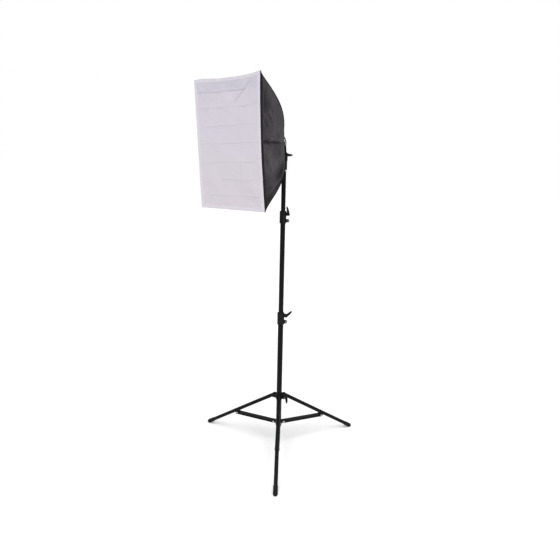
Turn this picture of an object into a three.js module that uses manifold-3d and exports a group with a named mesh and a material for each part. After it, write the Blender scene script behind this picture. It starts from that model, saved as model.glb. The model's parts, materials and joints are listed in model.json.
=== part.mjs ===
// A studio softbox on a three-section light stand.
//
// Millimetres, +Z up. Every part is placed about the column's axis with the floor at z = 0, and the
// softbox looks along -Y. The last step moves the origin to the centre of the footprint's bounding box.
// "Depth" is the distance behind the softbox's front face, along the softbox's own axis.

import * as THREE from "three";
import { mergeVertices } from "three/addons/utils/BufferGeometryUtils.js";
import Module from "manifold-3d";

const wasm = await Module();
wasm.setup();

// ---------------------------------------------------------------- driving dimensions

const GAP = 0.3; // running clearance between pieces that touch
const SIDES = 24; // facets round a column tube
const degrees = THREE.MathUtils.degToRad;

// Three telescoping tubes, each with its wall thickness, outer radius, bottom and top.
const WALL = 1.2;
const TUBES = {
  lower: { radius: 15, bottom: 122, top: 765.5 },
  middle: { radius: 13.5, bottom: 675, top: 1318 },
  upper: { radius: 12, bottom: 940, top: 1559.5 },
};

// The tripod: each leg hangs from the sliding collar and is braced from the fixed hub by a strut.
const LEG_AZIMUTHS = [-50, 70, 190];
const COLLAR = { height: 301, pivot: 38, sleeve: 19.5, halfHeight: 14, earReach: 11, earThick: 3.2 };
const HUB = { height: 140, pivot: 27, sleeve: 18.2, below: 14, above: 11, tongueReach: 6 };
const LEG = { radius: 10.5, beyondPivot: 9 };
const FOOT = { radius: 12, sleeve: 42, flat: 2, reach: 507 };
const BRACKET = { along: 303, drop: 17, halfLength: 12, halfWidth: 10.8, top: -6, bottom: -23 };
const STRUT = { inside: 11.1, wall: 1.2, webTop: 7.2, flangeBottom: -7.5, earRadius: 8, notch: 18 };
const PIN = { radius: 3, hole: 3.5, head: 5.5, headThick: 1.8 };

// The two column clamps: split collars with a locking lever above and a pinch bolt below.
const CLAMP_AZIMUTH = 41;
const CLAMPS = {
  lower: { bottom: 725, top: 793, radius: 19.6, holds: TUBES.lower, guides: TUBES.middle, lever: 42 },
  upper: { bottom: 1285, top: 1352, radius: 18.2, holds: TUBES.middle, guides: TUBES.upper, lever: 102 },
};
const EAR = { inner: 1.6, outer: 8, reach: 35, halfHeight: 9, screw: 28 };
const COLLAR_EAR = { azimuth: 11, screw: 37, reach: 44.4, leverAngle: -82 };
const LEVER = { hub: 8.4, hubLength: 9, arm: 42, rootHalf: 7.8, tipHalf: 4.2, thick: 6.5 };
const NUT = { radius: 5.6, thick: 4.4 };

// The tilting bracket on the spigot.
const SPIGOT = { radius: 8, top: 1602, flangeTop: 1565 };
const SOCKET = { radius: 16, bottom: 1565.6, boreTop: 1605, top: 1619 };
const PIVOT_HEIGHT = 1644;
const CLEVIS = { radius: 14, inside: 6.4, outside: 11.4, floor: 1624 };
const LOCK_KNOB = { height: 1588, radius: 10, near: 20, far: 31 };

// The softbox, in its own frame: the tilt axis is the origin, -Y is forward.
const TILT = 4; // how far the front looks down
const FACE = { width: 436, height: 608, toPivot: 397, axisRise: 57 };
const SHELL = { rear: 351, front: 3, rearHalf: 30, thick: 3, steps: 9 };
const ROD = { radius: 2, inset: 9, steps: 26, tipFrom: 0.945, tipTo: 0.975, tipRadius: 3.6 };
const DIFFUSER = { thick: 2.6, hem: 16, hollow: 0.5 };
const ROD_HUB = { bossHalf: 26, bossFront: 337, flangeRadius: 42, flangeFront: 351.6, rear: 356 };
const HOUSING = { radius: 31, front: 356.4, rear: 372, tongueHalf: 6, tongueTop: 48 };
const SWITCH = { x: 18.5, z: 57, halfWidth: 5, pocket: 8 };
const GLAND = { x: -16, depth: 364, radius: 7.2, bore: 4.5, bottom: 15, boreLength: 13 };
const LAMP_SOCKET = { radius: 22, front: 296, rear: 336.6, bore: 14.4, boreRear: 324 };
const BULB = { cap: 13, capRear: 322, capFront: 292, waist: 28, baseFront: 241, front: 102 };
const COIL = { tube: 6.5, radius: 24, turns: 6 };

// ---------------------------------------------------------------- materials

const material = (color, roughness, metalness = 0) =>
  new THREE.MeshStandardMaterial({ color, roughness, metalness });
const blackMetal = material(0x1a1a1c, 0.38, 0.6);
const blackPlastic = material(0x141414, 0.55);
const zinc = material(0x8c8c8c, 0.35, 0.9);
const rubber = material(0x0e0e0e, 0.85);
const blackFabric = material(0x2a2a2c, 0.6);
const whiteFabric = material(0xdcdae2, 0.8);
const ceramic = material(0xeeeae0, 0.4);
const brass = material(0xc9a860, 0.3, 1);
const whitePlastic = material(0xf0f0ee, 0.45);
const glass = material(0xf7f7f4, 0.25);
const fibreglass = material(0xd8d4c4, 0.5);

// ---------------------------------------------------------------- solids

// A closed geometry as a manifold-3d solid.
function solid(geometry) {
  const bare = geometry.clone();
  bare.deleteAttribute("normal");
  bare.deleteAttribute("uv");
  const merged = mergeVertices(bare, 1e-3);
  return new wasm.Manifold(
    new wasm.Mesh({
      numProp: 3,
      vertProperties: merged.attributes.position.array,
      triVerts: new Uint32Array(merged.index.array),
    }),
  );
}

function geometryOf(made) {
  const mesh = made.simplify(0.02).getMesh();
  return new THREE.BufferGeometry()
    .setAttribute("position", new THREE.BufferAttribute(new Float32Array(mesh.vertProperties), 3))
    .setIndex(new THREE.BufferAttribute(new Uint32Array(mesh.triVerts), 1));
}

const join = (...geometries) => geometryOf(geometries.map(solid).reduce((all, next) => all.add(next)));
const cut = (geometry, ...tools) =>
  geometryOf(tools.map(solid).reduce((rest, tool) => rest.subtract(tool), solid(geometry)));
const common = (a, b) => geometryOf(solid(a).intersect(solid(b)));

// A profile of [radius, height] pairs turned round Z.
function turned(profile, sides = SIDES) {
  const points = profile.map(([radius, height]) => new THREE.Vector2(radius, height));
  return new THREE.LatheGeometry(points, sides).rotateX(Math.PI / 2);
}

const tube = (outer, inner, bottom, top, sides = SIDES) =>
  turned([[inner, bottom], [outer, bottom], [outer, top], [inner, top], [inner, bottom]], sides);

const rod = (radius, bottom, top, sides = 20) =>
  turned([[0, bottom], [radius, bottom], [radius, top], [0, top]], sides);

function block([x0, x1], [y0, y1], [z0, z1]) {
  return new THREE.BoxGeometry(x1 - x0, y1 - y0, z1 - z0).translate(
    (x0 + x1) / 2,
    (y0 + y1) / 2,
    (z0 + z1) / 2,
  );
}

// Solids that stand along Z, laid along X or Y instead.
const alongX = (geometry) => geometry.rotateY(Math.PI / 2);
const alongY = (geometry) => geometry.rotateX(-Math.PI / 2);

// An outline in the XZ plane, given as a THREE.Shape, made into a plate from y0 to y1.
function plateXZ(shape, y0, y1, curveSegments = 8) {
  return new THREE.ExtrudeGeometry(shape, { depth: y1 - y0, bevelEnabled: false, curveSegments })
    .rotateX(Math.PI / 2)
    .translate(0, y1, 0);
}

function piece(name, geometry, look) {
  const mesh = new THREE.Mesh(geometry, look);
  mesh.name = name;
  return mesh;
}

const turnedAbout = (azimuth) => {
  const group = new THREE.Group();
  group.rotation.z = degrees(azimuth);
  return group;
};

const part = new THREE.Group();

// ---------------------------------------------------------------- column

for (const [name, { radius, bottom, top }] of Object.entries(TUBES))
  part.add(piece(`${name}_column_tube`, tube(radius, radius - WALL, bottom, top), blackMetal));

const plugRadius = TUBES.lower.radius - WALL - GAP;
const columnPlug = turned([
  [0, TUBES.lower.bottom - 7],
  [TUBES.lower.radius - 2, TUBES.lower.bottom - 7],
  [TUBES.lower.radius, TUBES.lower.bottom - 5],
  [TUBES.lower.radius, TUBES.lower.bottom - GAP],
  [plugRadius, TUBES.lower.bottom - GAP],
  [plugRadius, TUBES.lower.bottom + 9],
  [0, TUBES.lower.bottom + 9],
]);
part.add(piece("column_end_plug", columnPlug, rubber));

// ---------------------------------------------------------------- hub, collar, struts and legs

// A round-ended tongue or ear in the radial plane: it reaches from the sleeve past its pivot.
function ear(from, pivot, radius, halfWidthFrom, halfWidthTo) {
  const shape = new THREE.Shape();
  shape.moveTo(from, -radius);
  shape.lineTo(pivot, -radius);
  shape.absarc(pivot, 0, radius, -Math.PI / 2, Math.PI / 2);
  shape.lineTo(from, radius);
  shape.closePath();
  return plateXZ(shape, halfWidthFrom, halfWidthTo, 5);
}

function hub() {
  const { height, pivot, sleeve, below, above, tongueReach } = HUB;
  const bore = TUBES.lower.radius + GAP;
  let made = tube(sleeve, bore, height - below, height + above);
  const halfWidth = STRUT.inside - GAP;
  for (const azimuth of LEG_AZIMUTHS) {
    const tongue = ear(bore - 4, pivot, tongueReach, -halfWidth, halfWidth);
    const hole = alongY(rod(PIN.hole, -20, 20, 16)).translate(pivot, 0, 0);
    made = join(made, cut(tongue, hole).translate(0, 0, height).rotateZ(degrees(azimuth)));
  }
  return cut(made, rod(bore, height - 30, height + 30, SIDES));
}
part.add(piece("strut_hub", hub(), blackPlastic));

// A pair of clamp ears that points outwards along +X at a height, with the hole for its screw.
function clampEars({ from, screw, reach, height, halfHeight = EAR.halfHeight }) {
  const ears = ear(from, reach - halfHeight, halfHeight, -EAR.outer, EAR.outer);
  const hole = alongY(rod(PIN.hole, -20, 20, 14)).translate(screw, 0, 0);
  return cut(ears, hole).translate(0, 0, height);
}

function legCollar() {
  const { height, pivot, sleeve, halfHeight, earReach, earThick } = COLLAR;
  const bore = TUBES.lower.radius + GAP;
  let made = tube(sleeve, bore, -halfHeight, halfHeight);
  const inside = LEG.radius + 0.5;
  for (const azimuth of LEG_AZIMUTHS)
    for (const side of [-1, 1]) {
      const plate = ear(bore - 4, pivot, earReach, inside, inside + earThick);
      const head = alongY(rod(PIN.head, inside + 1, inside + earThick + 2, 10)).translate(pivot, 0, 0);
      const cheek = join(plate, head).rotateX(side < 0 ? Math.PI : 0);
      made = join(made, cheek.rotateZ(degrees(azimuth)));
    }
  const { screw, reach } = COLLAR_EAR;
  const ears = clampEars({ from: bore - 1, screw, reach, height: 0, halfHeight: earReach });
  const split = block([bore - 2, reach + 5], [-EAR.inner, EAR.inner], [-30, 30]);
  made = join(made, ears.rotateZ(degrees(COLLAR_EAR.azimuth)));
  made = cut(made, split.rotateZ(degrees(COLLAR_EAR.azimuth)), rod(bore, -30, 30, SIDES));
  return made.translate(0, 0, height);
}
part.add(piece("leg_collar", legCollar(), blackPlastic));

// Where a leg's strut bracket has its pin, in the leg's radial plane: [radius, height].
const footHeight = FOOT.radius - FOOT.flat;
const legPitch = Math.atan2(COLLAR.height - footHeight, FOOT.reach - COLLAR.pivot);
const footAlong = Math.hypot(COLLAR.height - footHeight, FOOT.reach - COLLAR.pivot);
const strutPin = [
  COLLAR.pivot + BRACKET.along * Math.cos(legPitch) - BRACKET.drop * Math.sin(legPitch),
  COLLAR.height - BRACKET.along * Math.sin(legPitch) - BRACKET.drop * Math.cos(legPitch),
];
const strutRun = strutPin[0] - HUB.pivot;
const strutRise = strutPin[1] - HUB.height;
const strutLength = Math.hypot(strutRun, strutRise);

// An inverted channel along +X from its hub pin: the web is cut away round both pins.
function strut() {
  const { inside, wall, webTop, flangeBottom, earRadius, notch } = STRUT;
  const outside = inside + wall;
  const side = new THREE.Shape();
  side.moveTo(0, -earRadius);
  side.quadraticCurveTo(earRadius * 0.9, -earRadius, earRadius * 1.6, flangeBottom);
  side.lineTo(strutLength - earRadius * 1.6, flangeBottom);
  side.quadraticCurveTo(strutLength - earRadius * 0.9, -earRadius, strutLength, -earRadius);
  side.absarc(strutLength, 0, earRadius, -Math.PI / 2, Math.PI / 2);
  side.lineTo(strutLength - notch, webTop);
  side.lineTo(notch, webTop);
  side.lineTo(0, earRadius);
  side.absarc(0, 0, earRadius, Math.PI / 2, (3 * Math.PI) / 2);
  const bar = plateXZ(side, -outside, outside, 6);
  const hollow = block([-20, strutLength + 20], [-inside, inside], [-20, webTop - wall]);
  const ends = [block([-20, notch], [-inside, inside], [-20, 20])];
  ends.push(block([strutLength - notch, strutLength + 20], [-inside, inside], [-20, 20]));
  const holes = [0, strutLength].map((x) => alongY(rod(PIN.hole, -20, 20, 16)).translate(x, 0, 0));
  return cut(bar, hollow, ...ends, ...holes);
}

// A rivet along Y that holds a strut's flanges: a shank with a head at each end.
function rivet() {
  const reach = STRUT.inside + STRUT.wall + GAP;
  return alongY(
    turned(
      [
        [0, -reach - PIN.headThick],
        [PIN.head, -reach - PIN.headThick],
        [PIN.head, -reach],
        [PIN.radius, -reach],
        [PIN.radius, reach],
        [PIN.head, reach],
        [PIN.head, reach + PIN.headThick],
        [0, reach + PIN.headThick],
      ],
      14,
    ),
  );
}

// The saddle under a leg, in the leg's frame: it hugs the tube and carries the strut's rivet.
function strutBracket() {
  const { along, drop, halfLength, halfWidth, top, bottom } = BRACKET;
  const saddle = block([along - halfLength, along + halfLength], [-halfWidth, halfWidth], [bottom, top]);
  const seat = alongX(rod(LEG.radius + GAP, along - 20, along + 20, 20));
  const hole = alongY(rod(PIN.hole, -20, 20, 16)).translate(along, 0, -drop);
  return cut(saddle, seat, hole);
}

// A rubber cap over a leg's end, in the leg's radial plane, with a flat where it stands on the floor.
function foot() {
  const { radius, sleeve } = FOOT;
  const ballAt = footAlong;
  const profile = [
    [LEG.radius + GAP, ballAt - sleeve],
    [radius - 0.6, ballAt - sleeve],
    [radius, ballAt - sleeve + 2],
  ];
  for (let i = 0; i <= 5; i++) {
    const angle = (i / 5) * (Math.PI / 2);
    profile.push([radius * Math.cos(angle), ballAt + radius * Math.sin(angle)]);
  }
  profile.push([0, ballAt - 4], [LEG.radius + GAP, ballAt - 4], [LEG.radius + GAP, ballAt - sleeve]);
  const cap = alongX(turned(profile, 20)).rotateY(legPitch).translate(COLLAR.pivot, 0, COLLAR.height);
  return cut(cap, block([300, 700], [-50, 50], [-20, 0]));
}
const legTubeEnd = footAlong - 4 - GAP;

LEG_AZIMUTHS.forEach((azimuth, index) => {
  const n = index + 1;
  const plane = turnedAbout(azimuth);

  const brace = new THREE.Group();
  brace.position.set(HUB.pivot, 0, HUB.height);
  brace.rotation.y = -Math.atan2(strutRise, strutRun);
  brace.add(piece(`strut_${n}`, strut(), blackMetal));

  const hubRivet = piece(`hub_rivet_${n}`, rivet(), zinc);
  hubRivet.position.set(HUB.pivot, 0, HUB.height);
  const legRivet = piece(`leg_rivet_${n}`, rivet(), zinc);
  legRivet.position.set(strutPin[0], 0, strutPin[1]);

  const leg = new THREE.Group();
  leg.position.set(COLLAR.pivot, 0, COLLAR.height);
  leg.rotation.y = legPitch;
  const legTube = alongX(tube(LEG.radius, LEG.radius - WALL, -LEG.beyondPivot, legTubeEnd, 20));
  leg.add(piece(`leg_tube_${n}`, legTube, blackMetal));
  leg.add(piece(`strut_bracket_${n}`, strutBracket(), blackPlastic));

  plane.add(brace, hubRivet, legRivet, leg, piece(`foot_${n}`, foot(), rubber));
  part.add(plane);
});

// ---------------------------------------------------------------- clamps and levers

// A split collar that grips the tube it holds and guides the tube that slides.
function columnClamp({ bottom, top, radius, holds, guides }) {
  const step = holds.top + GAP;
  const held = holds.radius + GAP;
  const guided = guides.radius + GAP;
  const bevel = 2;
  const body = turned([
    [guided, step],
    [held, step],
    [held, bottom],
    [radius - bevel, bottom],
    [radius, bottom + bevel],
    [radius, top - bevel],
    [radius - bevel, top],
    [guided, top],
    [guided, step],
  ]);
  const [leverAt, boltAt] = clampScrews({ bottom, top });
  const ears = [leverAt, boltAt].map((height) =>
    clampEars({ from: held + 1, screw: EAR.screw, reach: EAR.reach, height, halfHeight: 8.5 }),
  );
  const split = block([guided - 2, EAR.reach + 5], [-EAR.inner, EAR.inner], [bottom - 5, top + 5]);
  return cut(join(body, ...ears), split);
}

// The heights of a column clamp's two screws: the lever's, then the pinch bolt's.
function clampScrews({ bottom, top }) {
  return [top - 17, bottom + 15];
}

// A lever with its screw: turns about Y at the origin, with the screw along -Y and the arm along +X.
function lever(nearFace, screwEnd) {
  const { hub: radius, hubLength, arm, rootHalf, tipHalf, thick } = LEVER;
  const start = nearFace + GAP;
  const end = start + hubLength;
  const boss = alongY(rod(radius, start, end, 18));
  const screw = alongY(rod(PIN.radius, screwEnd, start + 1, 12));
  const shape = new THREE.Shape();
  shape.moveTo(0, -rootHalf);
  shape.quadraticCurveTo(arm * 0.55, -rootHalf * 0.5, arm - tipHalf, -tipHalf);
  shape.absarc(arm - tipHalf, 0, tipHalf, -Math.PI / 2, Math.PI / 2);
  shape.quadraticCurveTo(arm * 0.55, rootHalf * 1.15, 0, rootHalf);
  shape.closePath();
  return join(boss, screw, plateXZ(shape, end - thick, end - 0.5, 5));
}

// A hexagonal nut on Y, from its near face outwards.
function nut(nearFace) {
  const body = alongY(rod(NUT.radius, nearFace, nearFace + NUT.thick, 6));
  return cut(body, alongY(rod(PIN.radius + GAP, nearFace - 1, nearFace + NUT.thick + 1, 12)));
}

// Places a lever and its nut in the frame of a pair of clamp ears. side is the face the lever is on.
function addLever(frame, name, { screw, height, angle, side }) {
  const screwEnd = -(EAR.outer + NUT.thick + 1);
  const made = new THREE.Group();
  made.position.set(screw, 0, height);
  const handle = lever(EAR.outer, screwEnd);
  const flat = nut(EAR.outer + GAP).rotateZ(Math.PI);
  if (side < 0) [handle, flat].forEach((geometry) => geometry.rotateX(Math.PI));
  const turnedHandle = piece(`${name}_lever`, handle, blackPlastic);
  turnedHandle.rotation.y = -degrees(angle);
  made.add(turnedHandle, piece(`${name}_nut`, flat, zinc));
  frame.add(made);
}

for (const [name, clamp] of Object.entries(CLAMPS)) {
  const frame = turnedAbout(CLAMP_AZIMUTH);
  const [leverAt, boltAt] = clampScrews(clamp);
  frame.add(piece(`${name}_clamp`, columnClamp(clamp), blackPlastic));
  addLever(frame, `${name}_clamp`, { screw: EAR.screw, height: leverAt, angle: clamp.lever, side: -1 });
  const bolt = join(
    alongY(rod(NUT.radius, EAR.outer + GAP, EAR.outer + 4, 6)),
    alongY(rod(PIN.radius, 0.5 - EAR.outer, EAR.outer + 1, 12)),
  );
  frame.add(piece(`${name}_clamp_bolt`, bolt.translate(EAR.screw, 0, boltAt), zinc));
  part.add(frame);
}

const collarFrame = turnedAbout(COLLAR_EAR.azimuth);
addLever(collarFrame, "leg_collar", {
  screw: COLLAR_EAR.screw,
  height: COLLAR.height,
  angle: COLLAR_EAR.leverAngle,
  side: 1,
});
part.add(collarFrame);

// ---------------------------------------------------------------- spigot and tilting bracket

function spigot() {
  const { radius, top, flangeTop } = SPIGOT;
  const tubeTop = TUBES.upper.top;
  const plug = TUBES.upper.radius - WALL - GAP;
  return turned([
    [0, tubeTop - 30],
    [plug, tubeTop - 30],
    [plug, tubeTop + GAP],
    [TUBES.upper.radius + 0.8, tubeTop + GAP],
    [TUBES.upper.radius + 0.8, flangeTop],
    [radius, flangeTop],
    [radius, top - 2],
    [radius - 2, top],
    [0, top],
  ], 24);
}
part.add(piece("spigot", spigot(), zinc));

function tiltBracket() {
  const { radius, inside, outside, floor } = CLEVIS;
  const bevel = 2;
  const socket = turned([
    [0, SOCKET.boreTop],
    [SPIGOT.radius + 0.5, SOCKET.boreTop],
    [SPIGOT.radius + 0.5, SOCKET.bottom],
    [SOCKET.radius - bevel, SOCKET.bottom],
    [SOCKET.radius, SOCKET.bottom + bevel],
    [SOCKET.radius, SOCKET.top - bevel],
    [SOCKET.radius - bevel, SOCKET.top],
    [0, SOCKET.top],
  ], 24);
  // The clevis cheek is drawn in YZ and made across X.
  const cheek = new THREE.Shape();
  cheek.moveTo(-radius, SOCKET.top - 6 - PIVOT_HEIGHT);
  cheek.lineTo(radius, SOCKET.top - 6 - PIVOT_HEIGHT);
  cheek.lineTo(radius, 0);
  cheek.absarc(0, 0, radius, 0, Math.PI);
  cheek.closePath();
  const fork = plateXZ(cheek, -outside, outside, 10).rotateZ(Math.PI / 2).translate(0, 0, PIVOT_HEIGHT);
  const slot = block([-inside, inside], [-30, 30], [floor, PIVOT_HEIGHT + 30]);
  const pinHole = alongX(rod(PIN.hole, -30, 30, 16)).translate(0, 0, PIVOT_HEIGHT);
  const screwHole = alongX(rod(PIN.hole, -30, 0, 14)).translate(0, 0, LOCK_KNOB.height);
  return cut(join(socket, fork), slot, pinHole, screwHole);
}
part.add(piece("tilt_bracket", tiltBracket(), blackPlastic));

// The tilt lever's screw is the tilt axle: it runs along X through the fork and the tongue.
const tiltLever = lever(CLEVIS.outside + 1, -(CLEVIS.outside + NUT.thick + 1)).rotateZ(-Math.PI / 2);
const tiltHandle = piece("tilt_lever", tiltLever.rotateX(Math.PI), blackPlastic);
tiltHandle.position.z = PIVOT_HEIGHT;
part.add(tiltHandle);
const tiltNut = nut(CLEVIS.outside + GAP).rotateZ(Math.PI / 2);
part.add(piece("tilt_nut", tiltNut.translate(0, 0, PIVOT_HEIGHT), zinc));

// A lobed knob with its screw, along -X: it locks the bracket on the spigot.
function lockKnob() {
  const { radius, near, far } = LOCK_KNOB;
  const outline = new THREE.Shape();
  const lobes = 5;
  for (let i = 0; i <= lobes * 6; i++) {
    const angle = (i / (lobes * 6)) * 2 * Math.PI;
    const reach = radius * (0.9 + 0.1 * Math.cos(lobes * angle));
    const [x, z] = [reach * Math.cos(angle), reach * Math.sin(angle)];
    if (i === 0) outline.moveTo(x, z);
    else outline.lineTo(x, z);
  }
  const grip = plateXZ(outline, near, far);
  const screw = alongY(rod(PIN.radius, SPIGOT.radius + 0.6, near + 1, 12));
  const neck = alongY(rod(6, SOCKET.radius + 1, near + 1, 14));
  return join(grip, neck, screw).rotateZ(Math.PI / 2);
}
part.add(piece("bracket_lock_knob", lockKnob().translate(0, 0, LOCK_KNOB.height), blackPlastic));

// ---------------------------------------------------------------- softbox

const head = new THREE.Group();
head.position.z = PIVOT_HEIGHT;
head.rotation.x = degrees(TILT);
part.add(head);

// Solids that are turned about the softbox's axis are made along Z, with z as the depth.
const onAxis = (geometry) => geometry.rotateX(-Math.PI / 2).translate(0, -FACE.toPivot, FACE.axisRise);

// The corner line that the shell's fabric is stretched over: half width, half height and depth.
const handle = { near: [0.61, 0.845], far: [0.81, 0.22] }; // shares of the half size and of the depth
const bezier = (a, b, c, d, t) => {
  const s = 1 - t;
  return s * s * s * a + 3 * s * s * t * b + 3 * s * t * t * c + t * t * t * d;
};
function cornerAt(t) {
  const half = { x: FACE.width / 2, z: FACE.height / 2 };
  const { rear, front, rearHalf } = SHELL;
  return {
    x: bezier(rearHalf, half.x * handle.near[0], half.x * handle.far[0], half.x, t),
    z: bezier(rearHalf, half.z * handle.near[0], half.z * handle.far[0], half.z, t),
    depth: bezier(rear, rear * handle.near[1], rear * handle.far[1], front, t),
  };
}

// The outline of the shell in one direction, moved inwards by an amount square to itself.
function outline(direction, inset) {
  const points = [];
  for (let i = 0; i <= SHELL.steps; i++) {
    const t = i / SHELL.steps;
    const here = cornerAt(t);
    const [before, after] = [cornerAt(Math.max(0, t - 0.01)), cornerAt(Math.min(1, t + 0.01))];
    const slope = Math.atan2(after[direction] - before[direction], before.depth - after.depth);
    points.push([here[direction] - inset * Math.cos(slope), here.depth - inset * Math.sin(slope)]);
  }
  points[SHELL.steps][1] = SHELL.front; // the front edge stays in one plane
  return points;
}

// A plate drawn as [offset, depth] and made across the other direction, far wider than the shell.
function prism(points, direction) {
  const wide = 400;
  const shape = new THREE.Shape();
  points.forEach(([offset, depth], i) => (i ? shape.lineTo(offset, depth) : shape.moveTo(offset, depth)));
  shape.closePath();
  const made = new THREE.ExtrudeGeometry(shape, { depth: 2 * wide, bevelEnabled: false });
  made.translate(0, 0, -wide);
  if (direction === "z") made.rotateY(-Math.PI / 2);
  return made.translate(0, -FACE.toPivot, FACE.axisRise);
}

const mirrored = (points) => points.map(([offset, depth]) => [-offset, depth]);
const skin = (direction, side) => {
  const points = [...outline(direction, 0), ...outline(direction, SHELL.thick).reverse()];
  return prism(side < 0 ? mirrored(points) : points, direction);
};
const inside = (direction, inset) => {
  const half = outline(direction, inset);
  return prism([...half, ...mirrored(half).reverse()], direction);
};

for (const [name, side] of [["top", 1], ["bottom", -1]])
  head.add(piece(`${name}_panel`, common(skin("z", side), inside("x", 0)), blackFabric));
for (const [name, side] of [["right", 1], ["left", -1]])
  head.add(piece(`${name}_panel`, common(skin("x", side), inside("z", SHELL.thick + GAP)), blackFabric));

// The diffuser: a sheet whose thick sewn hem is held on the shell's front edge by touch tape.
const faceBlock = (inset, from, to) =>
  block(
    [inset - FACE.width / 2, FACE.width / 2 - inset],
    [from - FACE.toPivot, to - FACE.toPivot],
    [FACE.axisRise - FACE.height / 2 + inset, FACE.axisRise + FACE.height / 2 - inset],
  );
const { thick: hemThick, hem, hollow } = DIFFUSER;
const recesses = [faceBlock(hem, -5, hollow), faceBlock(hem, hemThick - hollow, hemThick + 5)];
head.add(piece("diffuser", cut(faceBlock(0, 0, hemThick), ...recesses), whiteFabric));

// The four sprung rods run inside the shell's corners, from the hub to the rubber tips in front.
class CornerLine extends THREE.Curve {
  constructor(sideX, sideZ, from, to) {
    super();
    Object.assign(this, { sideX, sideZ, from, to });
  }
  getPoint(u) {
    const t = this.from + (this.to - this.from) * u;
    const { x, z, depth } = cornerAt(t);
    const reach = ROD.inset;
    const y = depth - FACE.toPivot - reach * (1 - t);
    return new THREE.Vector3(this.sideX * (x - reach), y, this.sideZ * (z - reach));
  }
}

function rodAlong(curve, radius, steps, sides) {
  const ring = new THREE.Shape();
  for (let i = 0; i < sides; i++) {
    const angle = (i / sides) * 2 * Math.PI;
    const [x, y] = [radius * Math.cos(angle), radius * Math.sin(angle)];
    if (i) ring.lineTo(x, y);
    else ring.moveTo(x, y);
  }
  ring.closePath();
  return new THREE.ExtrudeGeometry(ring, { steps, extrudePath: curve, bevelEnabled: false }).translate(
    0,
    0,
    FACE.axisRise,
  );
}

const CORNERS = [[1, 1], [1, -1], [-1, -1], [-1, 1]];
CORNERS.forEach(([sideX, sideZ], index) => {
  const whole = new CornerLine(sideX, sideZ, 0.02, ROD.tipTo);
  head.add(piece(`spring_rod_${index + 1}`, rodAlong(whole, ROD.radius, ROD.steps, 8), fibreglass));
  const cap = rodAlong(new CornerLine(sideX, sideZ, ROD.tipFrom, ROD.tipTo + 0.006), ROD.tipRadius, 2, 10);
  const boreLine = new CornerLine(sideX, sideZ, ROD.tipFrom - 0.02, ROD.tipTo + 0.002);
  const bore = rodAlong(boreLine, ROD.radius + GAP, 3, 8);
  head.add(piece(`rod_tip_${index + 1}`, cut(cap, bore), blackPlastic));
});

function rodHub() {
  const { bossHalf, bossFront, flangeRadius, flangeFront, rear } = ROD_HUB;
  const boss = new THREE.BoxGeometry(2 * bossHalf, 2 * bossHalf, rear - bossFront).translate(
    0,
    0,
    (rear + bossFront) / 2,
  );
  const flange = rod(flangeRadius, flangeFront, rear, 32);
  const body = onAxis(join(boss, flange));
  const sockets = CORNERS.map(([sideX, sideZ]) =>
    rodAlong(new CornerLine(sideX, sideZ, 0.005, 0.3), ROD.radius + GAP, 8, 8),
  );
  return cut(body, ...sockets);
}
head.add(piece("rod_hub", rodHub(), blackPlastic));

// ---------------------------------------------------------------- lamp holder and lamp

const depthToY = (depth) => depth - FACE.toPivot;

function housing() {
  const { radius, front, rear, tongueHalf, tongueTop } = HOUSING;
  const bevel = 2.5;
  const disc = onAxis(turned([
    [0, front],
    [radius, front],
    [radius, rear - bevel],
    [radius - bevel, rear],
    [0, rear],
  ], 36));
  // The tongue that fills the bracket's fork, drawn as [-y, z] and made across X.
  const shape = new THREE.Shape();
  const root = -depthToY(rear - 2);
  const half = CLEVIS.radius - 3;
  shape.moveTo(root, FACE.axisRise + 14);
  shape.lineTo(0, tongueTop);
  shape.quadraticCurveTo(-half, tongueTop - 2, -half, tongueTop - half);
  shape.lineTo(-half, 0);
  shape.absarc(0, 0, half, Math.PI, (3 * Math.PI) / 2);
  shape.lineTo(root, FACE.axisRise - 28);
  shape.closePath();
  const tongue = plateXZ(shape, -tongueHalf, tongueHalf, 10).rotateZ(-Math.PI / 2);
  const pinHole = alongX(rod(PIN.hole, -20, 20, 16));
  const pocket = block(
    [SWITCH.x - SWITCH.halfWidth - 0.6, SWITCH.x + SWITCH.halfWidth + 0.6],
    [depthToY(rear - SWITCH.pocket), depthToY(rear + 5)],
    [SWITCH.z - 8.7, SWITCH.z + 8.7],
  );
  return cut(join(disc, tongue), pinHole, pocket);
}
head.add(piece("lamp_holder", housing(), blackPlastic));

// A rocker drawn as [-y, z] about its own axis and made across X.
function rocker() {
  const shape = new THREE.Shape();
  const corners = [[0, -7.6], [-2.6, -7], [-1.2, 0], [-2.6, 7], [0, 7.6], [4.5, 5], [4.5, -5]];
  corners.forEach(([x, z], i) => (i ? shape.lineTo(x, z) : shape.moveTo(x, z)));
  shape.closePath();
  return plateXZ(shape, -SWITCH.halfWidth, SWITCH.halfWidth).rotateZ(-Math.PI / 2);
}
const rockerSwitch = piece("power_switch", rocker(), blackPlastic);
rockerSwitch.position.set(SWITCH.x, depthToY(HOUSING.rear), SWITCH.z);
head.add(rockerSwitch);

// The gland that the mains cord would pass through, under the lamp holder.
function gland() {
  const { x, depth, radius, bore, bottom, boreLength } = GLAND;
  const body = rod(radius, bottom, FACE.axisRise - 8, 16).translate(x, depthToY(depth), 0);
  const hole = rod(bore, bottom - 1, bottom + boreLength, 16).translate(x, depthToY(depth), 0);
  const disc = onAxis(rod(HOUSING.radius + GAP, HOUSING.front - 5, HOUSING.rear + 5, 36));
  return cut(body, hole, disc);
}
head.add(piece("cable_gland", gland(), blackPlastic));

function lampSocket() {
  const { radius, front, rear, bore, boreRear } = LAMP_SOCKET;
  return onAxis(turned([
    [bore, front],
    [radius - 3, front],
    [radius, front + 6],
    [radius, rear],
    [0, rear],
    [0, boreRear],
    [bore, boreRear],
    [bore, front],
  ], 24));
}
head.add(piece("lamp_socket", lampSocket(), ceramic));

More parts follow.
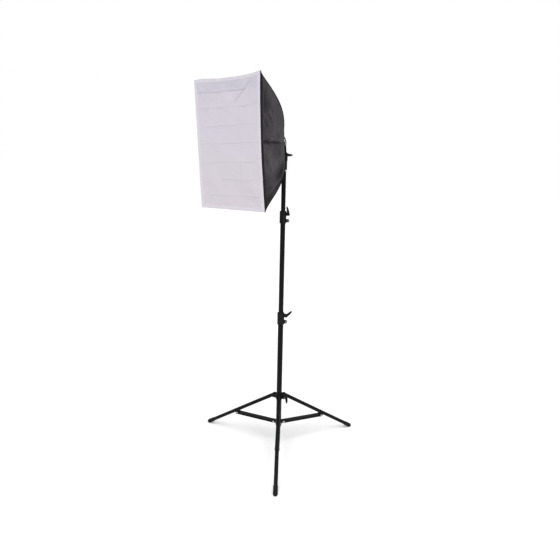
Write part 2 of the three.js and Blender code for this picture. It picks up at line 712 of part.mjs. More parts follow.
const { cap, capRear, capFront, waist, baseFront } = BULB;
const capProfile = [
  [0, capFront + GAP],
  [cap, capFront + GAP],
  [cap, capRear - 5],
  [5, capRear],
  [0, capRear],
];
const lampCap = onAxis(turned(capProfile, 24));
head.add(piece("lamp_cap", lampCap, brass));
const lampBase = onAxis(turned([
  [0, baseFront],
  [waist, baseFront],
  [waist, baseFront + 22],
  [cap + 1, capFront],
  [0, capFront],
], 28));
head.add(piece("lamp_base", lampBase, whitePlastic));

class Spiral extends THREE.Curve {
  getPoint(u) {
    const angle = u * COIL.turns * 2 * Math.PI;
    const rear = baseFront - GAP - COIL.tube;
    const front = BULB.front + COIL.tube;
    return new THREE.Vector3(
      COIL.radius * Math.cos(angle),
      depthToY(rear + (front - rear) * u),
      COIL.radius * Math.sin(angle),
    );
  }
}
head.add(piece("lamp_tube", rodAlong(new Spiral(), COIL.tube, COIL.turns * 16, 8), glass));

// ---------------------------------------------------------------- origin

part.updateMatrixWorld(true);
const bounds = new THREE.Box3().setFromObject(part, true);
const middle = bounds.getCenter(new THREE.Vector3());
part.position.set(-middle.x, -middle.y, -bounds.min.z);

export default part;
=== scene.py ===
"""A studio softbox on a light stand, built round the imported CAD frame."""

import json
import math
import random

import bpy
import numpy as np
from mathutils import Matrix, Vector
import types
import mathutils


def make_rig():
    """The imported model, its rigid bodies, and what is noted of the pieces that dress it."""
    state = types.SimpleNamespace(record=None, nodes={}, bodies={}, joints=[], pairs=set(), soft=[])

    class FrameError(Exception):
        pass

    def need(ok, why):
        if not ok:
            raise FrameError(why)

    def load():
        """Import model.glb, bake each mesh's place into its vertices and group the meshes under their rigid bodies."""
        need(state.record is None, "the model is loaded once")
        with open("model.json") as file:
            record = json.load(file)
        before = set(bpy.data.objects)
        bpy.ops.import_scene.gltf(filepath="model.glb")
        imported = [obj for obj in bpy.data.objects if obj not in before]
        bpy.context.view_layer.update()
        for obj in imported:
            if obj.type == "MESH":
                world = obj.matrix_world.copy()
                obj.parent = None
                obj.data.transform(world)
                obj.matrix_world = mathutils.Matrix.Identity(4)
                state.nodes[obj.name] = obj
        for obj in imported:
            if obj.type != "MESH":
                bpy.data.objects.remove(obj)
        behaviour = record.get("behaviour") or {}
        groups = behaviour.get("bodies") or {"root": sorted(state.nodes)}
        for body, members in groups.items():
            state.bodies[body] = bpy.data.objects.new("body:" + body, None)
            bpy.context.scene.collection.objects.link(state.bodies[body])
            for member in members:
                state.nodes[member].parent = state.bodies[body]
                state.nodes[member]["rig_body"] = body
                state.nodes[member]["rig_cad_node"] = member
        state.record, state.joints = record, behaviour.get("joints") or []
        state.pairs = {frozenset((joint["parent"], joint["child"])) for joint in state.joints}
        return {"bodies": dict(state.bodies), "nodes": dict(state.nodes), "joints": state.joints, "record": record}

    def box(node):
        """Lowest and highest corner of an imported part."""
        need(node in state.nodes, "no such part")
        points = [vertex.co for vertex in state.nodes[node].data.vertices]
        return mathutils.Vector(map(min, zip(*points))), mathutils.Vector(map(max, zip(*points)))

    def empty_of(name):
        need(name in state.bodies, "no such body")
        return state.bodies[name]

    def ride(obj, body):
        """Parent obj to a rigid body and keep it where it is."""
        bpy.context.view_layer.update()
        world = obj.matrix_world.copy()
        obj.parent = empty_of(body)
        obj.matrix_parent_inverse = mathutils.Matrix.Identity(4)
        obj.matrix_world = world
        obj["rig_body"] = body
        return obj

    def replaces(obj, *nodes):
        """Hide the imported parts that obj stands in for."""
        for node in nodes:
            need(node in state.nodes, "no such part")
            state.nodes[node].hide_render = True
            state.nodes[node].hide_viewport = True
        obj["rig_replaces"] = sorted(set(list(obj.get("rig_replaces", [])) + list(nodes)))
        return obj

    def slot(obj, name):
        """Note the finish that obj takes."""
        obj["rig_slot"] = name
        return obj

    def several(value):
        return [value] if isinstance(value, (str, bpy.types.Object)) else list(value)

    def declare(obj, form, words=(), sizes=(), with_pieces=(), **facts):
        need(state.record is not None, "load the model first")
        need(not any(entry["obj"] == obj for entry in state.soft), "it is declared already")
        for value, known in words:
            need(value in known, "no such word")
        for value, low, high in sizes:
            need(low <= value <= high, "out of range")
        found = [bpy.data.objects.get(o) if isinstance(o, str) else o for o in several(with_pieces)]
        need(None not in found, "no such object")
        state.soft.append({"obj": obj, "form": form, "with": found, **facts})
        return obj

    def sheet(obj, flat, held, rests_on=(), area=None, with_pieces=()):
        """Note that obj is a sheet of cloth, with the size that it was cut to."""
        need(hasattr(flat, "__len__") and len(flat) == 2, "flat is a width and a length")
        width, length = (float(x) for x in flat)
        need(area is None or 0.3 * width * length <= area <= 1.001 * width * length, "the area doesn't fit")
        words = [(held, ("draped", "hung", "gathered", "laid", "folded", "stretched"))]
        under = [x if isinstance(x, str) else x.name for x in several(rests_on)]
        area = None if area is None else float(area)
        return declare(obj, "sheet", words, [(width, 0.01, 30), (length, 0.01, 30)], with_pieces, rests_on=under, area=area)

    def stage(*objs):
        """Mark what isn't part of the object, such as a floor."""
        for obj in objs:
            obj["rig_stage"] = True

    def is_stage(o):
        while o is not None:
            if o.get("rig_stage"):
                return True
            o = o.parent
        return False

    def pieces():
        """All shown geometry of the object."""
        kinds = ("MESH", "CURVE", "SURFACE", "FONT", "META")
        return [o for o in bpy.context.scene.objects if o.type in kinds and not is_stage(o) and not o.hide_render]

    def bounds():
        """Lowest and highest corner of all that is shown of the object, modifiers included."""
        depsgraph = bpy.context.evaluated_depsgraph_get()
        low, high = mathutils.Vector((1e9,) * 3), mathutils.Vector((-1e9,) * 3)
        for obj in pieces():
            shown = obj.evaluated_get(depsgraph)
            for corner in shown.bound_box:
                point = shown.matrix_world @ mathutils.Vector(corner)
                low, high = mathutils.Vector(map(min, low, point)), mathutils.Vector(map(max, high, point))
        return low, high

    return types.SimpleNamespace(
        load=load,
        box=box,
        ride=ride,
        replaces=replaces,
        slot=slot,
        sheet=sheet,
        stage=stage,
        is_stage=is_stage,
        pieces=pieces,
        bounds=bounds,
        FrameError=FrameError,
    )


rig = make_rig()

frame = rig.load()
CAD_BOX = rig.bounds()
NODES = frame["nodes"]
JOINTS = {j["name"]: j for j in frame["joints"]}

# ---------------------------------------------------------------- places and sizes, in metres

column_low, column_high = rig.box("lower_column_tube")
COLUMN_X, COLUMN_Y = (column_low.x + column_high.x) / 2, (column_low.y + column_high.y) / 2
PIVOT = Vector(JOINTS["head_tilt"]["pos_m"])
TILT = math.radians(4)
HEAD = np.array(Matrix.Translation(PIVOT) @ Matrix.Rotation(TILT, 4, "X"))

HALF_W, HALF_H = 0.218, 0.304
FRONT_Y, AXIS_Z = -0.397, 1.701 - PIVOT.z  # the front face and the softbox's axis, from the tilt axis
SHELL_REAR, SHELL_FRONT, SHELL_REAR_HALF = 0.351, 0.003, 0.030
NEAR, FAR = (0.61, 0.845), (0.81, 0.22)  # the corner curve's handles: shares of half size and of depth


def to_world(points):
    """Points [x, depth, z] of the softbox's own frame, in the row frame."""
    p = np.asarray(points, float).reshape(-1, 3)
    local = np.stack([p[:, 0], p[:, 1] + FRONT_Y, p[:, 2] + AXIS_Z], 1)
    return local @ HEAD[:3, :3].T + HEAD[:3, 3]


def bezier(a, b, c, d, t):
    s = 1 - t
    return s**3 * a + 3 * s * s * t * b + 3 * s * t * t * c + t**3 * d


def corner_line(t):
    """Half width, half height and depth of the corner that the fabric is stretched over."""
    x = bezier(SHELL_REAR_HALF, HALF_W * NEAR[0], HALF_W * FAR[0], HALF_W, t)
    z = bezier(SHELL_REAR_HALF, HALF_H * NEAR[0], HALF_H * FAR[0], HALF_H, t)
    depth = bezier(SHELL_REAR, SHELL_REAR * NEAR[1], SHELL_REAR * FAR[1], SHELL_FRONT, t)
    return x, z, depth


# How far each front edge is pulled in, in mm at equal steps along it from its -X or lower end.
PULL = {
    "top": (0, 1, 5.5, 10, 11, 12.5, 12.5, 9.5, 3.5),
    "bottom": (0, 0.3, 0.5, 0.3, 0, 0, 0, 0, 0),
    "right": (1, 5, 7.5, 10.5, 11, 10, 8.5, 6, 1.5),
    "left": (0, 0.3, 0.3, 0.4, 0.4, 0.3, 0.3, 0.3, 0),
}


def pulled(side, u):
    """Inward bow of a front edge at u, from -1 to 1 along it, smoothed between the steps."""
    values = np.array(PULL[side]) / 1000
    place = (np.clip(u, -1, 1) + 1) / 2 * (len(values) - 1)
    total, weight = 0.0, 0.0
    for k, value in enumerate(values):
        near = np.exp(-(((place - k) / 0.62) ** 2))
        total, weight = total + value * near, weight + near
    return total / weight


# ---------------------------------------------------------------- small helpers


def smoothstep(low, high, x):
    """0 at low and 1 at high, whichever of them is the larger."""
    t = np.clip((x - low) / (high - low), 0, 1)
    return t * t * (3 - 2 * t)


class Waves:
    """A smooth random field: a seeded sum of plane waves, about -1 to 1."""

    def __init__(self, seed, wavelength, count=14):
        rng = random.Random(seed)
        self.terms = []
        for _ in range(count):
            angle, phase = rng.uniform(0, math.pi), rng.uniform(0, 2 * math.pi)
            k = 2 * math.pi / (wavelength * rng.uniform(0.6, 1.7))
            self.terms.append((k * math.cos(angle), k * math.sin(angle), phase))

    def __call__(self, a, b):
        total = sum(np.cos(kx * a + ky * b + phase) for kx, ky, phase in self.terms)
        return total / math.sqrt(len(self.terms))


def ridge(a, b, start, end, width, height, bend=0.0):
    """A fold along a line from start to end, in the sheet's own coordinates, that fades at both ends."""
    (a0, b0), (a1, b1) = start, end
    length = math.hypot(a1 - a0, b1 - b0)
    ta, tb = (a1 - a0) / length, (b1 - b0) / length
    along = ((a - a0) * ta + (b - b0) * tb) / length
    across = -(a - a0) * tb + (b - b0) * ta
    inside = np.clip(along, 0, 1)
    across = across - bend * 4 * inside * (1 - inside)
    over = np.maximum(np.maximum(-along, along - 1), 0) * length
    fade = np.sin(np.clip(inside * 0.9 + 0.05, 0, 1) * math.pi) ** 0.6 * np.exp(-((over / width) ** 2))
    return height * fade * np.exp(-((across / width) ** 2))


def link(name, verts, faces, body):
    """A smooth mesh object that rides a body."""
    mesh = bpy.data.meshes.new(name)
    mesh.from_pydata([tuple(map(float, v)) for v in verts], [], [tuple(map(int, f)) for f in faces])
    mesh.validate()
    mesh.update()
    mesh.polygons.foreach_set("use_smooth", [True] * len(mesh.polygons))
    made = bpy.data.objects.new(name, mesh)
    bpy.context.scene.collection.objects.link(made)
    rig.ride(made, body)
    return made


def grid_faces(rows, columns, start=0, flip=False):
    i, j = np.meshgrid(np.arange(rows - 1), np.arange(columns - 1), indexing="ij")
    a = (start + i * columns + j).ravel()
    quads = np.stack([a, a + columns, a + columns + 1, a + 1], 1)
    return quads[:, ::-1] if flip else quads


def grid_normals(points):
    """Unit normals of a grid of points, along d/drow x d/dcolumn."""
    n = np.cross(np.gradient(points, axis=0), np.gradient(points, axis=1))
    return n / np.maximum(np.linalg.norm(n, axis=2, keepdims=True), 1e-12)


def cloth(name, points, thickness, body, materials, uv, outward):
    """A closed sheet: a grid of points as one face, the same grid set back by the thickness as the other.

    outward is +1 or -1, the side of the grid's normal that is the outer face. thickness may be a grid.
    materials are the outer and the inner one, and uv the grid's flat coordinates in metres.
    """
    rows, columns = points.shape[:2]
    normals = grid_normals(points) * outward
    back = points - normals * np.broadcast_to(np.asarray(thickness), (rows, columns))[..., None]
    count = rows * columns
    verts = np.vstack([to_world(points), to_world(back)])
    front_faces = grid_faces(rows, columns, 0, outward < 0)
    back_faces = grid_faces(rows, columns, count, outward > 0)
    index = np.arange(count).reshape(rows, columns)
    loop = np.concatenate([index[0, :-1], index[:-1, -1], index[-1, :0:-1], index[:0:-1, 0]])
    after = np.roll(loop, -1)
    rim = np.stack([loop, after, after + count, loop + count], 1)
    rim = rim if outward < 0 else rim[:, ::-1]
    faces = np.vstack([front_faces, back_faces, rim])
    made = link(name, verts, faces, body)
    mesh = made.data
    for material in materials:
        mesh.materials.append(material)
    if len(materials) > 1:
        slots = np.zeros(len(faces), np.int32)
        slots[len(front_faces) : len(front_faces) + len(back_faces)] = 1
        mesh.polygons.foreach_set("material_index", slots)
    layer = mesh.uv_layers.new(name="Cloth")
    corners = np.zeros(len(mesh.loops), np.int32)
    mesh.loops.foreach_get("vertex_index", corners)
    flat = np.vstack([uv.reshape(-1, 2), uv.reshape(-1, 2)])
    layer.data.foreach_set("uv", flat[corners].astype(np.float32).ravel())
    return made


def sweep(name, path, radius, body, material, sides=12):
    """A closed round tube of one radius along a path."""
    path = np.asarray(path, float)
    count = len(path)
    tangents = np.gradient(path, axis=0)
    tangents /= np.linalg.norm(tangents, axis=1, keepdims=True)
    up = np.array([0.0, 0.0, 1.0]) if abs(tangents[0, 2]) < 0.9 else np.array([1.0, 0.0, 0.0])
    side = np.cross(tangents[0], up)
    side /= np.linalg.norm(side)
    angles = np.linspace(0, 2 * math.pi, sides, endpoint=False)
    rings = []
    for place, tangent in zip(path, tangents):
        side = side - tangent * (side @ tangent)
        side /= np.linalg.norm(side)
        over = np.cross(side, tangent)
        rings.append(place + radius * (np.outer(np.cos(angles), side) + np.outer(np.sin(angles), over)))
    faces = []
    for i in range(count - 1):
        for j in range(sides):
            n = (j + 1) % sides
            faces.append((i * sides + j, i * sides + n, (i + 1) * sides + n, (i + 1) * sides + j))
    faces.append(tuple(range(sides))[::-1])
    faces.append(tuple((count - 1) * sides + j for j in range(sides)))
    made = link(name, to_world(np.vstack(rings)), faces, body)
    made.data.materials.append(material)
    return made


# ---------------------------------------------------------------- materials


class Look:
    """A Principled material that is built up from small procedural steps."""

    def __init__(self, name, color, roughness, metallic=0.0, **sockets):
        self.material = bpy.data.materials.new(name)
        self.material.use_nodes = True
        self.tree = self.material.node_tree
        self.shader = self.tree.nodes["Principled BSDF"]
        self.shader.inputs["Metallic"].default_value = metallic
        self.set("Base Color", (*color, 1))
        self.set("Roughness", roughness)
        for socket, value in sockets.items():
            self.set(socket.replace("_", " "), value)
        self.height = None
        self.coordinates = None

    def set(self, socket, value):
        self.shader.inputs[socket].default_value = value

    def node(self, kind, **values):
        made = self.tree.nodes.new(kind)
        for key, value in values.items():
            if hasattr(made, key):
                setattr(made, key, value)
            else:
                made.inputs[key.replace("_", " ")].default_value = value
        return made

    def join(self, a, b):
        self.tree.links.new(a, b)

    def where(self, uv=False):
        """The coordinates that the patterns use: the piece's own place, or the cloth's flat one."""
        if self.coordinates is None:
            if uv:
                self.coordinates = self.node("ShaderNodeUVMap", uv_map="Cloth").outputs[0]
            else:
                self.coordinates = self.node("ShaderNodeTexCoord").outputs["Object"]
        return self.coordinates

    def noise(self, scale, detail=3.0, stretch=None, uv=False, rough=0.5):
        vector = self.where(uv)
        if stretch:
            mapping = self.node("ShaderNodeMapping")
            mapping.inputs["Scale"].default_value = stretch
            self.join(vector, mapping.inputs["Vector"])
            vector = mapping.outputs[0]
        made = self.node("ShaderNodeTexNoise", Scale=scale, Detail=detail, Roughness=rough)
        self.join(vector, made.inputs["Vector"])
        return made.outputs["Fac"]

    def bands(self, scale, direction, uv=True):
        made = self.node("ShaderNodeTexWave", wave_type="BANDS", bands_direction=direction, Scale=scale)
        self.join(self.where(uv), made.inputs["Vector"])
        return made.outputs["Fac"]

    def ramp(self, value, low, high, at=(0.3, 0.7)):
        made = self.node("ShaderNodeValToRGB")
        made.color_ramp.elements[0].position, made.color_ramp.elements[1].position = at
        made.color_ramp.elements[0].color = (*low, 1)
        made.color_ramp.elements[1].color = (*high, 1)
        self.join(value, made.inputs["Fac"])
        return made.outputs["Color"]

    def span(self, value, low, high, source=(0.3, 0.7)):
        made = self.node("ShaderNodeMapRange")
        for socket, number in zip(("From Min", "From Max", "To Min", "To Max"), (*source, low, high)):
            made.inputs[socket].default_value = number
        self.join(value, made.inputs["Value"])
        return made.outputs["Result"]

    def mix(self, a, b, factor):
        made = self.node("ShaderNodeMix", data_type="RGBA")
        self.join(factor, made.inputs["Factor"])
        for socket, value in ((6, a), (7, b)):
            if isinstance(value, tuple):
                made.inputs[socket].default_value = (*value, 1)
            else:
                self.join(value, made.inputs[socket])
        return made.outputs[2]

    def math(self, how, a, b):
        made = self.node("ShaderNodeMath", operation=how)
        for socket, value in zip(made.inputs, (a, b)):
            if isinstance(value, (int, float)):
                socket.default_value = value
            else:
                self.join(value, socket)
        return made.outputs[0]

    def bump(self, value, distance, strength=1.0):
        made = self.node("ShaderNodeBump", Strength=strength, Distance=distance)
        self.join(value, made.inputs["Height"])
        if self.height is not None:
            self.join(self.height, made.inputs["Normal"])
        self.height = made.outputs[0]
        self.join(self.height, self.shader.inputs["Normal"])

    def colored(self, output):
        self.join(output, self.shader.inputs["Base Color"])

    def roughened(self, output):
        self.join(output, self.shader.inputs["Roughness"])


def shade(color, share):
    return tuple(c * share for c in color)


def nylon(name, color, roughness, weave, bump, sheen, tint, mottle=0.12, specular=0.3, fade_and_painted_light=None):
    """Woven cloth: two crossed sets of threads, a soft mottle and a few slubs, and a paler black mixed in by a colour
    attribute that holds random unevenness together with painted light and painted shade.
    """
    look = Look(name, color, roughness, Sheen_Weight=sheen, Sheen_Roughness=0.35, Sheen_Tint=(*tint, 1),
                Specular_IOR_Level=specular)
    look.where(uv=True)
    warp, weft = look.bands(weave, "X"), look.bands(weave, "Y")
    threads = look.math("MULTIPLY", warp, weft)
    cloudy = look.noise(9, 4)
    slubs = look.noise(160, 2, stretch=(1, 9, 1))
    base = look.ramp(cloudy, shade(color, 1 - mottle), shade(color, 1 + mottle))
    # Painted light and shade: the attribute mixes in the paler black where light is painted, and less of it where
    # shade is painted.
    if fade_and_painted_light:
        tone = look.node("ShaderNodeVertexColor", layer_name="ToneAndPaintedShading")
        uneven = look.math("MULTIPLY", tone.outputs["Color"], look.span(look.noise(18, 5), 0.75, 1.15))
        base = look.mix(base, fade_and_painted_light, uneven)
    gaps = look.math("MULTIPLY", look.span(threads, 0.5, 0.0, (0, 0.5)), 0.6)
    base = look.mix(base, shade(color, 0.72), gaps)
    look.colored(look.mix(base, shade(color, 1.25), look.span(slubs, 0.0, 0.25, (0.55, 0.75))))
    look.roughened(look.span(cloudy, roughness - 0.06, roughness + 0.08))
    look.bump(threads, 0.00012, bump)
    look.bump(look.noise(60, 3), 0.0006, 0.25)
    return look.material


def hard(name, color, roughness, grain=900, depth=0.00008, wear=(0.0, 0.0, 0.0), rub=0.25, **sockets):
    """Moulded or painted surface: fine grain, uneven gloss, a little dust, and edges rubbed lighter."""
    look = Look(name, color, roughness, **sockets)
    cloudy, fine = look.noise(14, 5), look.noise(grain, 2)
    base = look.ramp(cloudy, shade(color, 0.82), shade(color, 1.2))
    geometry = look.node("ShaderNodeNewGeometry")
    edges = look.span(geometry.outputs["Pointiness"], 0.0, rub, (0.515, 0.58))
    broken = look.math("MULTIPLY", edges, look.span(look.noise(70, 4), 0.2, 1.0, (0.4, 0.6)))
    look.colored(look.mix(base, wear, broken))
    look.roughened(look.span(look.math("ADD", cloudy, look.math("MULTIPLY", fine, 0.3)), roughness - 0.07,
                             roughness + 0.1, (0.4, 0.9)))
    look.bump(fine, depth, 0.5)
    return look.material


def brushed(name, color, roughness, stretch, metallic=1.0, scratch=0.3):
    """Drawn or turned metal with fine lines along one way."""
    look = Look(name, color, roughness, metallic)
    lines = look.noise(120, 3, stretch=stretch)
    cloudy = look.noise(25, 4)
    look.colored(look.mix(look.ramp(cloudy, shade(color, 0.85), shade(color, 1.08)), shade(color, 0.7),
                          look.span(lines, 0.0, scratch, (0.45, 0.7))))
    look.roughened(look.span(lines, roughness - 0.06, roughness + 0.12))
    look.bump(lines, 0.00004, 0.4)
    return look.material


def painted_tube(name, stretch):
    """Gloss black paint on a drawn tube: faint lines along it, dust and rubbed patches."""
    color = (0.0035, 0.0035, 0.0038)
    look = Look(name, color, 0.3, 0.0, Specular_IOR_Level=0.09)
    lines = look.noise(260, 3, stretch=stretch)
    dust = look.noise(30, 5)
    base = look.ramp(dust, shade(color, 0.8), shade(color, 1.5))
    look.colored(look.mix(base, (0.03, 0.03, 0.032), look.span(lines, 0.0, 0.35, (0.6, 0.75))))
    gloss = look.math("ADD", look.math("MULTIPLY", lines, 0.5), look.math("MULTIPLY", dust, 0.5))
    look.roughened(look.span(gloss, 0.2, 0.36, (0.35, 0.65)))
    look.bump(lines, 0.00003, 0.35)
    return look.material


def thread(name, color):
    """Twisted sewing thread."""
    look = Look(name, color, 0.6, Sheen_Weight=0.3, Sheen_Roughness=0.4)
    twist = look.node("ShaderNodeTexWave", wave_type="BANDS", bands_direction="DIAGONAL", Scale=700.0)
    look.join(look.where(), twist.inputs["Vector"])
    look.colored(look.ramp(twist.outputs["Fac"], shade(color, 0.75), shade(color, 1.2)))
    look.roughened(look.span(look.noise(300, 2), 0.5, 0.7))
    look.bump(twist.outputs["Fac"], 0.0001, 0.5)
    return look.material


def translucent_nylon(name, color, hem_color, painted_crease_shade):
    """The diffuser's fine white cloth: weave, soft clouding, painted shade in the packing creases and on the strip
    above the top crease, a pinker lower part and a doubled hem.
    """
    look = Look(name, color, 0.82, Sheen_Weight=0.15, Sheen_Roughness=0.5, Sheen_Tint=(0.9, 0.88, 1.0, 1))
    look.where(uv=True)
    threads = look.math("MULTIPLY", look.bands(330, "X"), look.bands(330, "Y"))
    marks = look.node("ShaderNodeVertexColor", layer_name="Crease")
    channels = look.node("ShaderNodeSeparateColor")
    look.join(marks.outputs["Color"], channels.inputs["Color"])
    base = look.ramp(look.noise(7, 4), shade(color, 0.965), shade(color, 1.03))
    soiled = look.span(look.noise(30, 5, rough=0.6), 0.0, 0.6, (0.55, 0.75))
    base = look.mix(base, shade(color, 0.93), soiled)
    base = look.mix(base, (0.60, 0.545, 0.592), look.math("MULTIPLY", marks.outputs["Alpha"], 0.6))
    # Painted shade: the strip above the top crease is darker.
    base = look.mix(base, (0.50, 0.485, 0.56), look.math("MULTIPLY", channels.outputs["Blue"], 0.75))
    base = look.mix(base, hem_color, look.math("MULTIPLY", channels.outputs["Green"], 0.8))
    # Painted shade in the creases and along the diagonal wrinkle.
    base = look.mix(base, painted_crease_shade, look.math("MULTIPLY", channels.outputs["Red"], 0.75))
    base = look.mix(base, shade(color, 0.85), look.span(threads, 0.25, 0.0, (0, 0.5)))
    look.colored(base)
    look.roughened(look.span(look.noise(40, 3), 0.74, 0.9))
    look.bump(threads, 0.0001, 0.35)
    look.bump(look.noise(45, 4), 0.0008, 0.22)
    return look.material


NYLON_TINT, SEWN_TINT, PIPING_TINT = (0.75, 0.74, 0.82), (0.6, 0.58, 0.68), (0.5, 0.5, 0.55)
# The paler black of the side panels: random unevenness, and painted light where the cloth is lighter.
FADE_AND_PAINTED_LIGHT_BLACK = (0.095, 0.087, 0.094)
BLACK_NYLON = nylon("black_nylon", (0.0035, 0.0032, 0.0038), 0.5, 330, 0.5, 0.0, NYLON_TINT, 0.12, 0.05,
                    FADE_AND_PAINTED_LIGHT_BLACK)
BAND_NYLON = nylon("band_nylon", (0.0130, 0.0112, 0.0142), 0.75, 210, 0.8, 0.0, SEWN_TINT, 0.12, 0.04)
PIPING = nylon("piping_nylon", (0.005, 0.005, 0.006), 0.6, 400, 0.6, 0.0, PIPING_TINT, 0.12, 0.06)
BLACK_THREAD = thread("black_thread", (0.020, 0.020, 0.021))
WHITE_THREAD = thread("white_thread", (0.66, 0.65, 0.67))
# The last colour is the painted shade in the creases.
WHITE_NYLON = translucent_nylon("white_nylon", (0.588, 0.557, 0.622), (0.65, 0.62, 0.68), (0.42, 0.41, 0.46))
DULL_BLACK, RUBBED_BLACK = (0.0045, 0.0045, 0.0045), (0.03, 0.03, 0.03)
BLACK_PLASTIC = hard("black_plastic", DULL_BLACK, 0.42, wear=RUBBED_BLACK, Specular_IOR_Level=0.10)
BLACK_GRIP = hard("black_grip", DULL_BLACK, 0.5, grain=1400, wear=RUBBED_BLACK, Specular_IOR_Level=0.10)
RUBBER = hard("rubber", (0.006, 0.006, 0.006), 0.78, grain=500, depth=0.00015, wear=(0.03, 0.029, 0.028),
              rub=0.5, Specular_IOR_Level=0.08)
TUBE_PAINT = painted_tube("tube_paint", (1, 1, 0.012))
LEG_PAINT = painted_tube("leg_paint", (1, 1, 1))
ZINC = brushed("zinc", (0.50, 0.50, 0.49), 0.32, (1, 1, 6))
CERAMIC = hard("ceramic", (0.78, 0.76, 0.70), 0.25, grain=300, depth=0.00003, wear=(0.85, 0.84, 0.8),
               rub=0.2)
BRASS = brushed("brass", (0.75, 0.57, 0.30), 0.28, (1, 5, 1))
WHITE_PLASTIC = hard("white_plastic", (0.80, 0.80, 0.77), 0.4, grain=700, wear=(0.86, 0.86, 0.84), rub=0.2)
LAMP_GLASS = hard("lamp_glass", (0.86, 0.86, 0.82), 0.18, grain=90, depth=0.00003, wear=(0.9, 0.9, 0.88),
                  rub=0.1, Coat_Weight=0.6, Coat_Roughness=0.05)
FIBREGLASS = hard("fibreglass", (0.58, 0.55, 0.44), 0.4, grain=1200, wear=(0.7, 0.68, 0.6))


def silver():
    """The reflective lining: foil on cloth with an embossed diamond grid and soft creases."""
    look = Look("silver_lining", (0.72, 0.72, 0.74), 0.34, 0.9)
    look.where(uv=True)
    one = look.bands(40, "DIAGONAL")
    turned = look.node("ShaderNodeMapping")
    turned.inputs["Rotation"].default_value = (0, 0, math.pi / 2)
    look.join(look.where(), turned.inputs["Vector"])
    two = look.node("ShaderNodeTexWave", wave_type="BANDS", bands_direction="DIAGONAL", Scale=40.0)
    look.join(turned.outputs[0], two.inputs["Vector"])
    diamonds = look.math("MULTIPLY", one, two.outputs["Fac"])
    crumple = look.noise(22, 5, rough=0.6)
    look.colored(look.ramp(crumple, (0.60, 0.60, 0.62), (0.80, 0.80, 0.83)))
    look.roughened(look.span(crumple, 0.26, 0.44))
    look.bump(diamonds, 0.0004, 0.6)
    look.bump(crumple, 0.003, 0.35)
    return look.material


SILVER = silver()

# ---------------------------------------------------------------- CAD pieces that keep their shape


def finish_node(name, material, bevel=0.0):
    """Gives a CAD piece its material, smooth round faces and broken edges."""
    made = NODES[name]
    made.data.materials.clear()
    made.data.materials.append(material)
    made.data.polygons.foreach_set("use_smooth", [True] * len(made.data.polygons))
    made.data.set_sharp_from_angle(angle=math.radians(32))
    if bevel:
        rounding = made.modifiers.new("Rounding", "BEVEL")
        rounding.width = bevel
        rounding.segments = 2
        rounding.limit_method = "ANGLE"
        rounding.angle_limit = math.radians(40)
        rounding.harden_normals = True


for node_name in ("lower_column_tube", "middle_column_tube", "upper_column_tube"):
    finish_node(node_name, TUBE_PAINT)
for n in (1, 2, 3):
    finish_node(f"leg_tube_{n}", LEG_PAINT)
    finish_node(f"strut_{n}", LEG_PAINT, 0.0003)
    finish_node(f"strut_bracket_{n}", BLACK_PLASTIC, 0.0008)
    finish_node(f"foot_{n}", RUBBER)
    finish_node(f"hub_rivet_{n}", ZINC, 0.0004)
    finish_node(f"leg_rivet_{n}", ZINC, 0.0004)
for node_name in ("strut_hub", "leg_collar", "lower_clamp", "upper_clamp", "tilt_bracket", "lamp_holder",
                  "cable_gland", "power_switch", "rod_hub"):
    finish_node(node_name, BLACK_PLASTIC, 0.0006)
for node_name in ("lower_clamp_lever", "upper_clamp_lever", "leg_collar_lever", "tilt_lever",
                  "bracket_lock_knob"):
    finish_node(node_name, BLACK_GRIP, 0.0007)
for node_name in ("lower_clamp_nut", "upper_clamp_nut", "leg_collar_nut", "tilt_nut", "lower_clamp_bolt",
                  "upper_clamp_bolt", "spigot"):
    finish_node(node_name, ZINC, 0.0003)
finish_node("column_end_plug", RUBBER, 0.0004)
for n in (1, 2, 3, 4):
    finish_node(f"spring_rod_{n}", FIBREGLASS)
    finish_node(f"rod_tip_{n}", BLACK_PLASTIC)
finish_node("lamp_socket", CERAMIC, 0.0004)
finish_node("lamp_cap", BRASS)
finish_node("lamp_base", WHITE_PLASTIC, 0.0006)
finish_node("lamp_tube", LAMP_GLASS)

# ---------------------------------------------------------------- softbox fabric

CLOTH_THICK, BAND_WIDTH = 0.0011, 0.028
PANELS = {"right": 1, "left": -1, "top": 1, "bottom": -1}


def panel_surface(side, u, t):
    """The fabric's outer face before its folds, at u across and t from rear to front: [x, depth, z]."""
    x, z, depth = corner_line(t)
    reach = x if side in ("right", "left") else z
    slack = 0.034 * reach * smoothstep(0.0, 0.25, t)
    front = smoothstep(0.70, 1.0, t)
    bow = (1 - u * u) * slack * (1 - front) + pulled(side, u) * front
    sign = PANELS[side]
    low, high = ("bottom", "top") if side in ("right", "left") else ("left", "right")
    end = 1.0 if sign > 0 else -1.0
    along = pulled(low, end) * np.maximum(-u, 0) ** 2 - pulled(high, end) * np.maximum(u, 0) ** 2
    if side in ("right", "left"):
        return np.stack([sign * (x - bow), depth, z * u + along * front], -1)
    return np.stack([x * u + along * front, depth, sign * (z - bow)], -1)


def corner_folds(a, s, half, length, seed):
    """Tension folds that fan out from a panel's two front corners, and a general slackness."""
    rng = random.Random(seed)
    total = 0.0011 * Waves(seed, 0.16)(a, s) + 0.0005 * Waves(seed + 1, 0.05)(a, s)
    for end in (-1, 1):
        for k in range(4):
            angle = math.radians(18 + 19 * k + rng.uniform(-6, 6))
            reach = rng.uniform(0.08, 0.17)
            start = (end * (half - 0.012), length - 0.010)
            tip = (start[0] - end * reach * math.sin(angle), start[1] - reach * math.cos(angle))
            total = total + ridge(a, s, start, tip, rng.uniform(0.006, 0.011), rng.uniform(-0.0022, 0.0026),
                                  rng.uniform(-0.008, 0.008))
    return total


